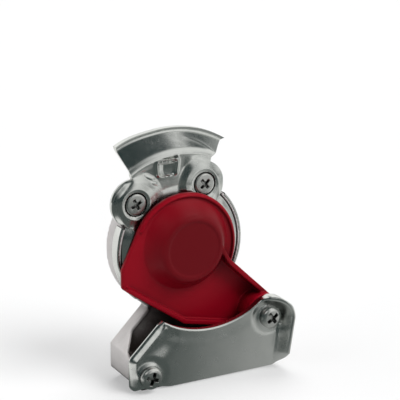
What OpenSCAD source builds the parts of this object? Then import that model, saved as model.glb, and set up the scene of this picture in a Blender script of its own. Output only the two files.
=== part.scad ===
// Palm-type air brake coupling head with a swinging cover.
// X is right, Y runs back from the coupling face and Z is up, in millimetres.
// The origin is on the base, below the seal axis, in the plane of the claw plate's face.
// Outlines are drawn as [x, z] about the seal axis, and depths are Y values.

/* [Head] */
// Outer radius of the round head
head_r = 29; // [27:0.5:31]
// Depth of the head's full-width band behind the claw plate
head_t = 10; // [8:0.5:12]
// Width of the raised rim beside the claw plate
rim_w = 1.6; // [1:0.1:2.4]
// How far the rim's front lies behind the claw plate's face
rim_drop = 0.6; // [0.3:0.1:1.2]
// Step between the head's side and the rim
rim_step = 0.2; // [0.1:0.05:0.4]
// Radius of the valve housing behind the head
housing_r = 18; // [16.5:0.5:20]
// Radius of the boss round the hose port
port_boss_r = 12; // [10:0.5:14]
// Wall radius of the hose port, the minor radius of an M16 x 1.5 thread
port_r = 7.19; // [6:0.01:8]
// Length of the hose port's thread
port_length = 13; // [10:0.5:15]
// Radius of the ears behind the claw screws
ear_r = 7; // [5.5:0.5:8]

/* [Base] */
// Thickness of the floor below the claw pocket
floor_t = 5; // [4:0.5:8]
// Left side of the base
base_left = -31; // [-33:0.5:-29]
// Right side of the base
base_right = 34; // [31:0.5:35]
// Height of the base's left end, below the seal axis
block_top = -40.6; // [-43:0.1:-40]
// Chamfer along the left bottom edge
base_chamfer = 5; // [2:0.5:7]
// Place of the neck's left end, where the slope below the head starts
neck_x = -16; // [-18:0.5:-14]
// Height of the neck's left end, below the seal axis
neck_z = -24.5; // [-26:0.5:-23]
// Thickness of the wall along the slope
slope_wall = 2; // [1.5:0.5:4]
// How far that wall reaches in front of the claw plate's face, at its lower end
slope_wall_h = 9.5; // [4:0.5:10.5]
// Share of the slope where the wall starts to reach forward
slope_wall_from = 0.55; // [0.3:0.05:0.8]
// Depth of the pocket's back wall
web_front = 1; // [0.5:0.1:2]
// Thickness of the pocket's back wall
web_t = 5; // [4:0.5:7]
// Depth of the rear edge of the foot
foot_back = 15; // [12:0.5:20]
// Width of the foot and its rib's stance
foot_w = 34; // [24:1:40]
// Thickness of the rib under the hose port
rib_t = 7; // [5:0.5:10]

/* [Claw plate] */
// Sheet thickness of the claw plate
plate_t = 2.5; // [2:0.1:3]
// Outer radius of the claw's lip
claw_lip_r = 49; // [47:0.5:51]
// Width of the flat lip
claw_lip_w = 1; // [0.8:0.1:3]
// How far the lip's face lies behind the coupling face
claw_drop = 11; // [9:0.5:12]
// Angle of the slope between plate and lip
claw_slope = 64; // [58:1:74]
// Radius of the claw's two bends, on the inside of the sheet
claw_bend = 1; // [0.6:0.1:1.4]
// Angle where the claw's root starts, at the right
claw_from = 65; // [60:1:68]
// Angle by which the lip reaches further right than the root
claw_flare = 7; // [2:1:10]
// Angle where the claw ends, at the left
claw_to = 122; // [119:1:127]
// How far the field between the lobes is set back
valley_drop = 1.4; // [0.8:0.1:2]
// Angle of the left claw screw
left_screw_at = 134.5; // [131:0.5:138]
// Distance of the left claw screw from the seal axis
left_screw_ring = 29.3; // [28:0.1:31]
// Radius of the left lobe
left_lobe_r = 11; // [10:0.5:13]
// Angle of the right claw screw
right_screw_at = 66; // [62:0.5:70]
// Distance of the right claw screw from the seal axis
right_screw_ring = 27.9; // [27:0.1:30]
// Radius of the right lobe
right_lobe_r = 10; // [8:0.5:11]
// Place of the detent tongue, to the right of the seal axis
detent_x = -5.8; // [-8:0.1:-4]
// Distance of the tongue's free edge from the claw's bend
detent_set = 2; // [1:0.1:3]
// Width of the detent tongue
detent_w = 9; // [7:0.5:11]
// Height of the detent tongue
detent_h = 8; // [6:0.5:9]
// How far the tongue's free edge stands out of the set-back field
detent_rise = 2; // [1:0.1:2.4]
// Height of the flat along the tongue's free edge
detent_flat = 1.5; // [1:0.1:2.5]

/* [Guide bracket] */
// Sheet thickness of the bracket
bracket_t = 2.5; // [2:0.1:3]
// Room round a mating claw's lip
lip_gap = 1; // [0.6:0.1:1.6]
// Left end of the bracket
bracket_left = -31.3; // [-33:0.1:-30]
// Height of the bracket's left edge
bracket_left_h = 14; // [12:0.5:18]
// Place of the bracket's upper left corner, to the right of the seal axis
bracket_top_x = -18; // [-21:0.5:-16]
// Height of the bracket's upper left corner, below the seal axis
bracket_top_z = -27; // [-29:0.5:-25]
// Size of the cut at the bracket's lower right corner
bracket_cut = 7; // [4:0.5:9]
// How far the bracket's right side leans inwards at its lower end
bracket_lean = 3; // [0:0.5:4]
// Radius of the bracket's corners
bracket_round = 2.5; // [1.5:0.5:3]
// Distance of the bracket's bottom edge from the base plane
bracket_lift = 0.5; // [0.3:0.1:1]
// Radius of the concave upper edge
notch_r = 40.5; // [39:0.5:43]
// Place of the concave edge's centre, to the right of the seal axis
notch_x = 5.3; // [3:0.1:7]
// Height of the concave edge's centre above the seal axis
notch_z = 8.4; // [7:0.1:10]
// Width of the band that is bent back along the concave edge
band_w = 6; // [4:0.5:7]
// How far the band is bent back
band_bend = 1.6; // [0.8:0.1:1.8]
// Angle where the band starts, at the left
band_from = -122; // [-126:1:-118]
// Angle that the band covers
band_sweep = 60; // [50:1:64]
// Radius of the raised end round the pivot screw
end_r = 9.5; // [9:0.1:11]
// Height of the raised end
end_h = 6.5; // [3:0.5:7]
// Angle that the raised end covers, from the right
end_sweep = 115; // [95:5:120]

/* [Cover] */
// Radius of the cover's rim
cover_r = 24; // [22:0.5:25]
// Wall of the cover
cover_t = 2; // [1.6:0.1:2.4]
// Gap between the cover and the claw plate's face
cover_gap = 1.6; // [1.4:0.1:2]
// Radius of the flat disc on the dome
disc_r = 11.5; // [10:0.5:15]
// Width of the cover's rim outside the dome
cover_rim_w = 2.5; // [2:0.1:4]
// Depth of the dome above the cover's wall
dome_h = 6.2; // [5:0.1:7]
// How far the flat disc lies below its edge
disc_drop = 0.3; // [0.2:0.1:0.6]
// Distance of the arm's right wall from the seal axis, where it ends on the dome
wall_reach = 13; // [12:0.5:16]
// Height of the cover's wall on the right of the arm
wall_h = 6; // [4:0.1:6.5]
// Height of the lip along the arm's lower edge
lip_h = 2.4; // [1.5:0.1:4]
// Left edge of the cover's arm
arm_left = -29.3; // [-31:0.1:-28]
// Height of the arm's upper left corner, below the seal axis
arm_left_top = -5.4; // [-7:0.1:-4]
// Height of the arm's lower left corner, below the seal axis
arm_left_low = -13.3; // [-15:0.1:-12]
// Place of the arm's lowest corner, to the right of the seal axis
arm_low_x = -1.6; // [-4:0.1:1]
// Height of the arm's lowest corner, below the seal axis
arm_low_z = -32.7; // [-34:0.1:-31]
// Direction in which the arm's right wall faces
arm_facing = 46; // [42:1:50]
// Radius of the arm's left corners
arm_round = 2; // [1:0.5:3]
// Radius of the cover's hub
hub_r = 8.3; // [8:0.1:9]
// Place of the pivot to the right of the seal axis
pivot_x = 33.3; // [32:0.1:35]
// Height of the pivot, below the seal axis
pivot_z = -31.8; // [-33:0.1:-31]

/* [Pivot] */
// Outer radius of the pivot sleeve
sleeve_r = 4; // [3.6:0.1:4.4]
// Running clearance of the cover on the sleeve
sleeve_play = 0.05; // [0.03:0.01:0.1]
// Wire diameter of the cover's spring
cover_wire = 1.2; // [0.8:0.1:1.3]
// Number of turns of the cover's spring
cover_turns = 3; // [2:0.5:3.5]
// Length of the spring's two straight ends
cover_leg = 3; // [2:0.5:4]

/* [Screws] */
// Shank radius of the screws
screw_r = 2.5; // [2:0.1:2.8]
// Radius of the countersunk heads
flat_head_r = 4.6; // [4.2:0.1:5]
// Radius of the pan heads
pan_head_r = 4.9; // [4.4:0.1:5.2]
// Height of the pan heads
pan_head_h = 2.6; // [2.2:0.1:3.8]
// Thickness of the spring washers
washer_t = 1.2; // [0.8:0.1:1.5]
// Width of the cross recess's arms
cross_w = 1.1; // [0.8:0.1:1.4]
// Length across the cross recess
cross_l = 5; // [4:0.1:6]
// Depth of the cross recess
cross_h = 1.6; // [1:0.1:2]

/* [Valve] */
// Radius of the seal ring's neck
seal_r = 17.6; // [16:0.1:18]
// Radius of the passage through the seal ring
seal_hole_r = 10; // [9:0.1:11]
// How far the seal stands out of the claw plate's face
seal_proud = 1; // [0.6:0.1:1.1]
// Thickness of the seal ring's flange
seal_flange_t = 3; // [2:0.1:4]
// Outer radius of the valve seat
seat_r = 12.5; // [12:0.1:13]
// Radius of the valve seat's passage
seat_hole_r = 7; // [6:0.1:7.6]
// Length of the valve seat
seat_l = 4; // [3.6:0.1:5]
// Thickness of the retaining ring
ring_t = 1; // [0.8:0.1:1.2]
// Section radius of the seat's O-ring
o_ring_r = 0.8; // [0.6:0.05:0.9]
// Radius of the spring chamber
chamber_r = 10.6; // [10.4:0.1:11]
// Length of the spring chamber
chamber_l = 13; // [12:0.5:15]
// Radius of the plunger's stem
stem_r = 3; // [2.5:0.1:3.2]
// Running clearance of the stem in its guide
stem_play = 0.05; // [0.03:0.01:0.1]
// Radius of the plunger's disc
plunger_r = 9.8; // [9.6:0.1:10]
// Thickness of the plunger's disc
plunger_t = 1.8; // [1.4:0.1:2.4]
// Thickness of the rubber washer on the disc
valve_washer_t = 1.5; // [1:0.1:2]
// How far the stem's end lies behind the coupling face
stem_drop = 1.5; // [0.5:0.1:3]
// Wire diameter of the valve spring
valve_wire = 1; // [0.8:0.1:1.1]
// Number of turns of the valve spring
valve_turns = 4; // [3:0.5:4.5]

/* [Hidden] */
$fn = 96;

// Common clearances and edge breaks
fit = 0.05;
seat_gap = 0.3;
edge = 0.8;
over = 1;
arc_steps = 8;

// Heights about the seal axis
foot_z = -(claw_lip_r + lip_gap + floor_t);
pocket_r = claw_lip_r + lip_gap;
bracket_bottom = foot_z + bracket_lift;

// Depths of the bracket and the head
bracket_back = -(claw_drop + plate_t + lip_gap);
bracket_front = bracket_back - bracket_t;
web_back = web_front + web_t;
head_back = plate_t + head_t;

// Depths of the valve, from the face backwards
seal_seat_r = seal_r + 1.9;
seal_seat_back = plate_t + seal_flange_t + fit;
seat_bore_r = seat_r + 2 * fit;
groove_r = seat_bore_r + 0.9;
groove_front = seal_seat_back + 0.4;
seat_front = groove_front + ring_t + 2 * fit;
seat_back = seat_front + seat_l;
chamber_back = seat_back + chamber_l;
port_back = chamber_back + port_length;
plunger_front = seat_back + fit + valve_washer_t;
plunger_back = plunger_front + plunger_t;
guide_r = plunger_r - 1.8;

// Places of the screws
left_screw = left_screw_ring * [cos(left_screw_at), sin(left_screw_at)];
right_screw = right_screw_ring * [cos(right_screw_at), sin(right_screw_at)];
pivot = [pivot_x, pivot_z];
neck = [neck_x, neck_z];
slope_end = [base_left, neck_z - (neck_x - base_left)];
bracket_screw_at = [bracket_left + 7.7, bracket_bottom + 6.2];
low_right = [pivot_x + end_r - bracket_lean, bracket_bottom + bracket_cut];
low_end = [low_right.x - bracket_cut, bracket_bottom];

// Claw plate
plate_r = head_r - rim_w - seat_gap;
plate_hole_r = seal_r + seat_gap;
claw_outer_bend = claw_bend + plate_t;
claw_rise = claw_drop - valley_drop;
bend_sum = claw_bend + claw_outer_bend;
slope_l = (claw_rise - bend_sum * (1 - cos(claw_slope))) / sin(claw_slope);
claw_run = bend_sum * sin(claw_slope) + slope_l * cos(claw_slope);
claw_start_r = claw_lip_r - claw_lip_w - claw_run;
valley_r = head_r + seat_gap;
field_r = valley_r + 2;
detent_top = claw_start_r - detent_set;
rim_from = left_screw_at + lobe_reach(left_screw_ring, left_lobe_r);
rim_to = right_screw_at - lobe_reach(right_screw_ring, right_lobe_r) + 360;

// Cover
cover_back = -cover_gap;
cover_front = cover_back - cover_t;
rim_front = cover_front - 1;
dome_front = cover_front - dome_h;
wall_front = cover_front - wall_h;
lip_front = cover_front - lip_h;
hub_front = bracket_back + band_bend + seat_gap;
dome_r = cover_r - cover_rim_w;
spring_room = 0.7;
spring_mean_r = sleeve_r + spring_room + cover_wire / 2;
spring_back = web_front - seat_gap;
spring_front = spring_back - (cover_turns + 1) * (cover_wire + 0.1);
pocket_front = spring_front - seat_gap;
spring_pocket_r = spring_mean_r + cover_wire / 2 + spring_room;
spring_turn = 360 * cover_turns + 180;
leg_hole_r = cover_wire / 2 + 2 * fit;

// Angle beside a lobe's centre where its edge and its gap cross the head's rim
function lobe_reach(ring, lobe) =
    acos((head_r * head_r + ring * ring - pow(lobe + 2 * seat_gap, 2)) / (2 * head_r * ring));

function unit(v) = v / norm(v);
function ray(angle) = [cos(angle), sin(angle)];

// Points of a circular arc
function arc(centre, r, from, to) =
    [for (i = [0:arc_steps]) centre + r * ray(from + (to - from) * i / arc_steps)];

// Rounds corner b of the outline a, b, c with radius r
function corner(a, b, c, r) =
    let (
        u = unit(a - b),
        w = unit(c - b),
        half = acos(u * w) / 2,
        centre = b + unit(u + w) * r / sin(half),
        start = b + u * r / tan(half) - centre,
        stop = b + w * r / tan(half) - centre,
        from = atan2(start.y, start.x),
        turn = atan2(start.x * stop.y - start.y * stop.x, start * stop)
    )
    arc(centre, r, from, from + turn);

// Outline with rounded corners, from points given as [x, z, radius]
function rounded(p) = [
    for (i = [0:len(p) - 1])
        let (a = p[(i + len(p) - 1) % len(p)], b = p[i], c = p[(i + 1) % len(p)])
        each corner([a.x, a.y], [b.x, b.y], [c.x, c.y], b.z)
];

// Strip of width w on the right of the line from a to b
function strip(a, b, w) =
    let (side = w * [(b - a).y, -(b - a).x] / norm(b - a))
    [a, b, b + side, a + side];

module at_seal() {
    translate([0, 0, -foot_z]) children();
}

// Extrudes an outline from one depth to another
module slab(front, back) {
    translate([0, back, 0]) rotate([90, 0, 0]) linear_extrude(back - front) children();
}

// Revolves a profile of [radius, depth] points about an axis along Y
module turned(at = [0, 0], from = 0, sweep = 360) {
    translate([at.x, 0, at.y]) rotate([90, 0, 0]) rotate([0, 0, from])
        rotate_extrude(angle = sweep) mirror([0, 1]) children();
}

// Round bar along Y
module rod(at, r, front, back) {
    translate([at.x, back, at.y]) rotate([90, 0, 0]) cylinder(r = r, h = back - front);
}

// Wire wound on a cylinder about an axis along Y, along a path of [angle, depth] points
module wound(path, coil_r, wire) {
    sides = 8;
    rings = len(path);
    at = [for (p = path) [coil_r * cos(p[0]), p[1], coil_r * sin(p[0])]];
    run = [for (i = [0:rings - 1]) unit(at[min(i + 1, rings - 1)] - at[max(i - 1, 0)])];
    out = [for (p = path) [cos(p[0]), 0, sin(p[0])]];
    skin = [
        for (i = [0:rings - 1], k = [0:sides - 1])
            let (spread = ray(360 * k / sides) * wire / 2, side = unit(cross(run[i], out[i])))
            at[i] + spread.x * out[i] + spread.y * side
    ];
    walls = [
        for (i = [0:rings - 2], k = [0:sides - 1])
            let (a = i * sides + k, b = i * sides + (k + 1) % sides)
            each [[a, b, b + sides], [a, b + sides, a + sides]]
    ];
    first = [for (k = [sides - 1:-1:0]) k];
    last = [for (k = [0:sides - 1]) (rings - 1) * sides + k];
    polyhedron(points = skin, faces = concat(walls, [first, last]));
}

// Cross recess cut into a screw head
module cross_recess(at, front) {
    for (turn = [0, 90])
        slab(front - over, front + cross_h)
            translate(at) rotate(turn + 20) square([cross_l, cross_w], center = true);
}

module pan_screw(at, back) {
    head_back_at = bracket_front - washer_t;
    head_front = head_back_at - pan_head_h;
    crown = pan_head_h * 0.55;
    difference() {
        union() {
            rod(at, screw_r, head_back_at - fit, back);
            turned(at) polygon(concat(
                [[0, head_back_at], [pan_head_r, head_back_at], [pan_head_r, head_front + crown]],
                [for (i = [1:arc_steps])
                    let (a = 90 * i / arc_steps)
                    [pan_head_r * (0.55 + 0.45 * cos(a)), head_front + crown * (1 - sin(a))]],
                [[0, head_front]]));
        }
        cross_recess(at, head_front);
    }
}

module spring_washer(at) {
    split = 0.8;
    difference() {
        rod(at, pan_head_r - 0.2, bracket_front - washer_t, bracket_front);
        rod(at, screw_r + 0.2, bracket_front - washer_t - over, bracket_front + over);
        slab(bracket_front - washer_t - over, bracket_front + over)
            translate(at) rotate(230) translate([0, -split / 2]) square([pan_head_r + over, split]);
    }
}

module flat_screw(at) {
    front = 0.1;
    difference() {
        union() {
            rod(at, screw_r, front + fit, head_back - fit);
            turned(at) polygon([[0, front], [flat_head_r, front], [flat_head_r, front + 0.2],
                [screw_r, front + 0.2 + flat_head_r - screw_r], [0, front + 0.2 + flat_head_r - screw_r]]);
        }
        cross_recess(at, front);
    }
}

module countersink(at) {
    room = flat_head_r + 2 * fit;
    hole = screw_r + 2 * fit;
    back = plate_t + valley_drop + over;
    turned(at) polygon([[0, -over], [room, -over], [room, 0.3], [hole, 0.3 + room - hole], [hole, back],
        [0, back]]);
}

// Pocket's back wall, from the head down to the base
module web_outline() {
    difference() {
        polygon([[neck_x, 0], neck, slope_end, [base_left, foot_z + base_chamfer],
            [base_left + base_chamfer, foot_z], [base_right, foot_z], [base_right, pivot_z],
            pivot + (hub_r - over) * ray(60), [-neck_x, 0]]);
        circle(r = head_r - rim_w / 2);
    }
}

// Base below the pocket that a mating claw slides through
module base_outline() {
    right_top = pivot_z - hub_r - 5 * seat_gap;
    difference() {
        polygon([[base_left, block_top], [base_left, foot_z + base_chamfer], [base_left + base_chamfer, foot_z],
            [base_right, foot_z], [base_right, right_top]]);
        circle(r = pocket_r);
    }
}

// Wall along the slope, whose front edge runs forward to the base
module slope_gusset() {
    length = norm(slope_end - neck);
    bend = slope_wall_from * length;
    at = atan2(slope_end.y - neck.y, slope_end.x - neck.x);
    translate([neck.x, 0, neck.y]) rotate([0, -at, 0]) translate([0, 0, seat_gap])
        linear_extrude(slope_wall - seat_gap)
            polygon([[0, web_back - over], [0, web_front - over], [bend, web_front - over],
                [length, -slope_wall_h], [length, web_back - over]]);
}

module foot() {
    rib_top = -housing_r + 2;
    translate([-rib_t / 2, 0, 0]) rotate([90, 0, 90]) linear_extrude(rib_t)
        polygon([[web_back - over, foot_z], [foot_back, foot_z], [foot_back, foot_z + floor_t],
            [chamber_back, rib_top], [web_back - over, rib_top]]);
    translate([-foot_w / 2, web_front, foot_z]) cube([foot_w, foot_back - web_front, floor_t]);
}

module body() {
    color("gainsboro") at_seal() difference() {
        union() {
            slab(plate_t, head_back) {
                circle(r = head_r);
                for (at = [left_screw, right_screw])
                    translate(at) circle(r = ear_r);
            }
            turned() polygon([[0, plate_t + over], [housing_r + 2, plate_t + over],
                [housing_r + 2, head_back + 3], [housing_r, head_back + 6], [housing_r, chamber_back - 2],
                [port_boss_r, chamber_back + 2], [port_boss_r, port_back - edge],
                [port_boss_r - edge, port_back], [0, port_back]]);
            turned(from = rim_from, sweep = rim_to - rim_from)
                polygon([[head_r - rim_w, plate_t + over], [head_r - rim_w, rim_drop],
                    [head_r - rim_step, rim_drop], [head_r - rim_step, plate_t + over]]);
            slab(web_front, web_back) web_outline();
            slope_gusset();
            slab(-slope_wall_h, web_back) polygon(strip([base_left, -pocket_r], slope_end, slope_wall));
            slab(bracket_back, web_back) base_outline();
            rod(pivot, hub_r, web_front, head_back + 2);
            foot();
        }
        turned() polygon([[0, plate_t - over], [seal_seat_r, plate_t - over], [seal_seat_r, seal_seat_back],
            [seat_bore_r, seal_seat_back], [seat_bore_r, groove_front], [groove_r, groove_front],
            [groove_r, seat_front], [seat_bore_r, seat_front], [seat_bore_r, seat_back],
            [chamber_r, seat_back], [chamber_r, chamber_back], [port_r, chamber_back],
            [port_r, port_back + over], [0, port_back + over]]);
        for (at = [left_screw, right_screw])
            rod(at, screw_r + fit, plate_t - over, head_back + over);
        rod(bracket_screw_at, screw_r + fit, bracket_back - over, 0);
        rod(pivot, screw_r + fit, web_front - over, head_back + 2 + over);
        rod(pivot + spring_mean_r * ray(spring_turn), leg_hole_r, web_front - over, web_front + cover_leg);
    }
}

// Field of the claw plate that is level with the coupling face
module claw_field() {
    circle(r = plate_r);
    translate(left_screw) circle(r = left_lobe_r);
    translate(right_screw) circle(r = right_lobe_r);
    intersection() {
        circle(r = field_r);
        polygon([[0, 0], 2 * right_screw, 2 * field_r * ray(90), 2 * left_screw]);
    }
}

// Section of the claw at one face of the sheet: set-back field, bend, slope, second bend and lip
function claw_face(first_r, second_r, depth) =
    let (
        first = [claw_start_r, valley_drop + claw_outer_bend],
        second = first + bend_sum * [sin(claw_slope), -cos(claw_slope)] + slope_l * ray(claw_slope)
    )
    concat(
        [[valley_r, depth]],
        arc(first, first_r, -90, claw_slope - 90),
        arc(second, second_r, claw_slope + 90, 90),
        [[claw_lip_r, second.y + second_r]]);

// Tongue that rises from the set-back field to its free upper edge
module detent() {
    low = detent_top - detent_h;
    root = valley_drop + over;
    crest = valley_drop - detent_rise;
    translate([detent_x - detent_w / 2, 0, 0]) rotate([90, 0, 90]) linear_extrude(detent_w)
        polygon([[root, low], [valley_drop, low], [crest, detent_top - detent_flat], [crest, detent_top],
            [root, detent_top]]);
}

module claw_plate() {
    face = claw_face(claw_outer_bend, claw_bend, valley_drop);
    back = claw_face(claw_bend, claw_outer_bend, valley_drop + plate_t);
    first = claw_from - claw_flare;
    root = (claw_start_r - over) * ray(claw_from);
    tip = claw_lip_r * ray(first);
    color("silver") at_seal() difference() {
        union() {
            slab(0, plate_t) claw_field();
            difference() {
                turned(from = first, sweep = claw_to - first)
                    polygon(concat(face, [for (i = [len(back) - 1:-1:0]) back[i]]));
                slab(-over, claw_drop + plate_t + over) polygon([[0, 0], root, 2 * tip - root, [tip.x * 2, 0]]);
            }
            detent();
        }
        rod([0, 0], plate_hole_r, -over, plate_t + over);
        for (at = [left_screw, right_screw]) {
            countersink(at);
            rod(at, ear_r + seat_gap, plate_t, plate_t + valley_drop + over);
        }
    }
}

module claw_screw_left() {
    color("lightgray") at_seal() flat_screw(left_screw);
}

module claw_screw_right() {
    color("lightgray") at_seal() flat_screw(right_screw);
}

module bracket_outline() {
    right = pivot_x + end_r;
    top = pivot_z + end_r;
    difference() {
        polygon(rounded([
            [bracket_left, bracket_bottom, bracket_round],
            [bracket_left, bracket_bottom + bracket_left_h, bracket_round],
            [bracket_top_x, bracket_top_z, bracket_round], [pivot_x - end_r, top, edge],
            [right, top, end_r - fit], [low_right.x, low_right.y, edge],
            [low_end.x, low_end.y, bracket_round]]));
        translate([notch_x, notch_z]) circle(r = notch_r);
    }
}

module guide_bracket() {
    notch = [notch_x, notch_z];
    bend_r = notch_r + band_w;
    rim_in = end_r - bracket_t;
    front = bracket_front - end_h;
    color("silver") at_seal() difference() {
        union() {
            difference() {
                slab(bracket_front, bracket_back) bracket_outline();
                turned(notch, band_from, band_sweep)
                    polygon([[notch_r - over, bracket_front - over], [bend_r, bracket_front - over],
                        [bend_r, bracket_back + over], [notch_r - over, bracket_back + over]]);
            }
            turned(notch, band_from, band_sweep)
                polygon([[notch_r, bracket_front + band_bend], [bend_r + fit, bracket_front],
                    [bend_r + fit, bracket_back], [notch_r, bracket_back + band_bend]]);
            turned(pivot, 0, end_sweep)
                polygon([[rim_in, bracket_back], [rim_in, front], [end_r, front], [end_r, bracket_back]]);
            slab(front, bracket_back) {
                polygon(strip([pivot_x + end_r, pivot_z], low_right, bracket_t));
                polygon(strip(low_right, low_right + 0.6 * (low_end - low_right), bracket_t));
            }
        }
        for (at = [pivot, bracket_screw_at])
            rod(at, screw_r + 0.2, bracket_front - over, bracket_back + over);
    }
}

module bracket_screw() {
    color("lightgray") at_seal() pan_screw(bracket_screw_at, -over);
}

module bracket_washer() {
    color("gray") at_seal() spring_washer(bracket_screw_at);
}

module pivot_screw() {
    color("lightgray") at_seal() pan_screw(pivot, head_back + over);
}

module pivot_washer() {
    color("gray") at_seal() spring_washer(pivot);
}

module pivot_sleeve() {
    color("silver") at_seal() difference() {
        rod(pivot, sleeve_r, bracket_back, web_front);
        rod(pivot, screw_r + 0.2, bracket_back - over, web_front + over);
    }
}

// Section of the dome's outside, from its foot to the disc's edge
function dome_edge(inset) = [
    for (i = [0:arc_steps])
        let (t = i / arc_steps)
        [dome_r - inset + (disc_r - dome_r + inset) * t,
            cover_front + inset - dome_h * (1 - cos(180 * t)) / 2]
];

module cover() {
    tangent = pivot + hub_r * ray(arm_facing);
    arm = ray(arm_facing + 90);
    foot_point = tangent - (tangent * arm) * arm;
    wall_end = foot_point - sqrt(wall_reach * wall_reach - foot_point * foot_point) * arm;
    left_top = [arm_left, arm_left_top];
    left_low = [arm_left, arm_left_low];
    low = [arm_low_x, arm_low_z];
    hub_low = pivot + hub_r * ray(-100);
    touch_at = atan2(arm_left_top, arm_left) - acos(cover_r / norm(left_top));
    rim_touch = (cover_r - fit) * ray(touch_at);
    rim_start = arm_facing - acos(norm(foot_point) / cover_r);
    color("firebrick") at_seal() difference() {
        union() {
            turned() polygon(concat([[0, cover_back], [cover_r, cover_back], [cover_r, cover_front]],
                dome_edge(0), [[disc_r - edge, dome_front + disc_drop], [0, dome_front + disc_drop]]));
            turned(from = rim_start, sweep = touch_at + 360 - rim_start)
                polygon([[cover_r - rim_step, cover_front + edge], [cover_r - rim_step, rim_front + edge],
                    [cover_r - rim_step - edge, rim_front], [cover_r - 2 * edge, rim_front],
                    [dome_r + edge, cover_front + edge]]);
            slab(cover_front, cover_back) polygon(rounded([
                [left_top.x, left_top.y, arm_round], [left_low.x, left_low.y, arm_round],
                [low.x, low.y, hub_r], [hub_low.x, hub_low.y, edge], [tangent.x, tangent.y, edge],
                [wall_end.x, wall_end.y, edge], [rim_touch.x, rim_touch.y, edge]]));
            slab(wall_front, cover_back) polygon(strip(tangent, wall_end, -cover_t));
            slab(lip_front, cover_back) polygon(strip(left_low + unit(low - left_low), low, -cover_t));
            slab(lip_front, cover_back) polygon(strip(low, hub_low, -cover_t));
            rod(pivot, hub_r, hub_front, cover_back);
            rod(pivot, sleeve_r + 1.8, bracket_back + seat_gap, cover_back);
        }
        turned() polygon(concat([[0, cover_back + over], [dome_r - cover_t, cover_back + over]],
            dome_edge(cover_t), [[0, dome_front + cover_t]]));
        rod(pivot, sleeve_r + sleeve_play, bracket_back - over, cover_back + over);
        rod(pivot, spring_pocket_r, pocket_front, cover_back + over);
        rod(pivot + spring_mean_r * ray(0), leg_hole_r, pocket_front - cover_leg, pocket_front + over);
    }
}

module cover_spring() {
    step = 20;
    turn = spring_turn;
    first = spring_front + cover_wire / 2;
    last = spring_back - cover_wire / 2;
    color("dimgray") at_seal() translate([pivot_x, 0, pivot_z]) wound(concat(
        [[0, first - cover_leg], [0, first - 1], [2, first - 0.3], [8, first]],
        [for (a = [step:step:turn - step]) [a, first + (last - first) * a / turn]],
        [[turn - 8, last], [turn - 2, last + 0.3], [turn, last + 1], [turn, last + cover_leg]]),
        spring_mean_r, cover_wire);
}

module seal_ring() {
    flange_r = seal_seat_r - seat_gap;
    back = seal_seat_back - fit;
    front = -seal_proud;
    color("#222222") at_seal() turned() polygon([[seal_hole_r, back], [flange_r, back],
        [flange_r, plate_t + fit], [seal_r, plate_t + fit], [seal_r, front + 0.4], [seal_r - 0.6, front],
        [seal_hole_r + 3, front], [seal_hole_r, front + 1.5]]);
}

module retaining_ring() {
    ring_gap = 16;
    ring_end = 2;
    ring_w = 2;
    lug_r = 1.7;
    lug_hole_r = 0.6;
    outer = groove_r - 2 * fit;
    lug = outer - edge - lug_r;
    front = groove_front + fit;
    back = groove_front + ring_t;
    color("dimgray") at_seal() difference() {
        union() {
            turned(from = 90 + ring_gap + ring_end, sweep = 360 - 2 * (ring_gap + ring_end))
                polygon([[outer - ring_w, front], [outer, front], [outer, back], [outer - ring_w, back]]);
            for (a = [90 - ring_gap, 90 + ring_gap])
                rod(lug * ray(a), lug_r, front, back);
        }
        for (a = [90 - ring_gap, 90 + ring_gap])
            rod(lug * ray(a), lug_hole_r, front - over, back + over);
    }
}

module valve_seat() {
    o_groove = seat_front + seat_l * 0.55;
    o_half = o_ring_r + 0.3;
    floor_r = seat_r - 2 * o_ring_r;
    hub = stem_r + 1.4;
    spoke_w = 1.6;
    spider_t = seat_l * 0.4;
    color("goldenrod") at_seal() difference() {
        union() {
            turned() polygon([[seat_hole_r, seat_front], [seat_r, seat_front], [seat_r, o_groove - o_half],
                [floor_r, o_groove - o_half], [floor_r, o_groove + o_half], [seat_r, o_groove + o_half],
                [seat_r, seat_back], [seat_hole_r, seat_back]]);
            for (a = [90, 210, 330])
                slab(seat_front, seat_front + spider_t)
                    rotate(a) translate([stem_r, -spoke_w / 2]) square([seat_hole_r - stem_r + over, spoke_w]);
            rod([0, 0], hub, seat_front, seat_front + spider_t);
        }
        rod([0, 0], stem_r + stem_play, seat_front - over, seat_front + spider_t + over);
    }
}

module seat_o_ring() {
    o_groove = seat_front + seat_l * 0.55;
    color("#222222") at_seal()
        turned() translate([seat_r - o_ring_r + fit, o_groove]) circle(r = o_ring_r);
}

module valve_plunger() {
    guide_h = 1.2;
    color("ivory") at_seal() turned() polygon([[0, stem_drop], [stem_r - edge, stem_drop],
        [stem_r, stem_drop + edge], [stem_r, plunger_front], [plunger_r, plunger_front],
        [plunger_r, plunger_back], [guide_r, plunger_back], [guide_r, plunger_back + guide_h],
        [0, plunger_back + guide_h]]);
}

module valve_washer() {
    outer = plunger_r - 0.4;
    color("#222222") at_seal() turned() polygon([[stem_r + fit, seat_back + fit], [outer, seat_back + fit],
        [outer, plunger_front], [stem_r + fit, plunger_front]]);
}

module valve_spring() {
    step = 20;
    turn = 360 * valve_turns;
    first = plunger_back + fit + valve_wire / 2;
    last = chamber_back - fit - valve_wire / 2;
    coil_r = guide_r + seat_gap + valve_wire / 2;
    color("dimgray") at_seal()
        wound([for (a = [0:step:turn]) [a, first + (last - first) * a / turn]], coil_r, valve_wire);
}

body();
claw_plate();
claw_screw_left();
claw_screw_right();
guide_bracket();
bracket_screw();
bracket_washer();
pivot_screw();
pivot_washer();
pivot_sleeve();
cover();
cover_spring();
seal_ring();
retaining_ring();
valve_seat();
seat_o_ring();
valve_plunger();
valve_washer();
valve_spring();
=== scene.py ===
"""Looks of the palm-type air brake coupling head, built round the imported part."""

import math

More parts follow.
